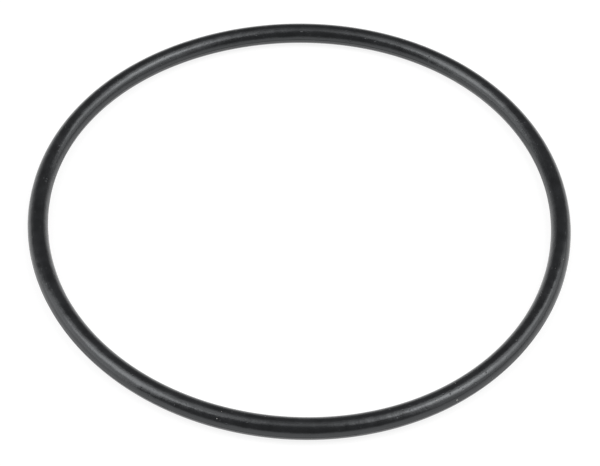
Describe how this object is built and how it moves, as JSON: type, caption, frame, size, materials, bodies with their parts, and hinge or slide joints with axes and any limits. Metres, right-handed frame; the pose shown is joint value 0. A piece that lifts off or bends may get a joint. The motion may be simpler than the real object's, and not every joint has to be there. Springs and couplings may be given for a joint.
{
  "type": "rubber o-ring",
  "caption": "Round-section rubber sealing ring, a closed loop that is squeezed in a groove to seal a shaft, bore or flange.",
  "frame": {"origin": "centre of the ring, on its middle (parting) plane", "axes": "+Z along the ring's axis of symmetry; the ring lies flat in the XY plane"},
  "size_m": [0.0951, 0.095, 0.0034],
  "materials": {
    "rubber": "satin black moulded rubber"
  },
  "bodies": {
    "root": {"o_ring": "rubber"}
  },
  "joints": []
}
